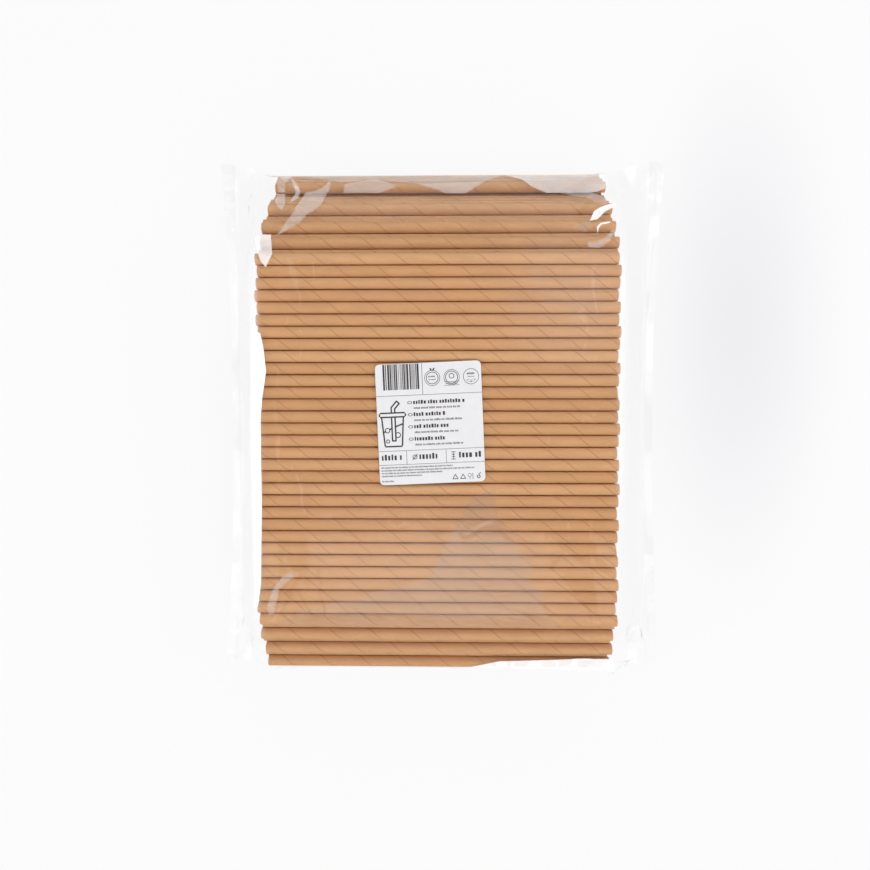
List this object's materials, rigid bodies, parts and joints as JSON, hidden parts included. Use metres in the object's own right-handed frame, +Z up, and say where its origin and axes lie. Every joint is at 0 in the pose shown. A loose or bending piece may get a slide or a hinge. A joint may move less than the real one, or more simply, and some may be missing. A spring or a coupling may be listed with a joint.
{
  "type": "bag of paper drinking straws",
  "caption": "Sealed clear film bag packed with loose kraft paper drinking straws in stacked rows, lying flat, with a rounded paper sticker on top.",
  "frame": {"origin": "centre of the pack's footprint, on the surface that it lies on", "axes": "+X along the straws, +Y across the pack to its far side, +Z up from the table"},
  "size_m": [0.3234, 0.3686, 0.0922],
  "materials": {
    "straw_paper": "matte",
    "clear_film": "gloss",
    "sticker_paper": "satin",
    "sticker_print": "satin"
  },
  "bodies": {
    "root": {"straw_layer_01": "straw_paper", "straw_layer_02": "straw_paper", "straw_layer_03": "straw_paper", "straw_layer_04": "straw_paper", "straw_layer_05": "straw_paper", "straw_layer_06": "straw_paper", "straw_layer_07": "straw_paper", "straw_layer_08": "straw_paper", "straw_layer_09": "straw_paper", "straw_layer_10": "straw_paper", "straw_layer_11": "straw_paper", "straw_layer_12": "straw_paper", "straw_layer_13": "straw_paper", "film_bag": "clear_film", "sticker": "sticker_paper"}
  },
  "joints": []
}
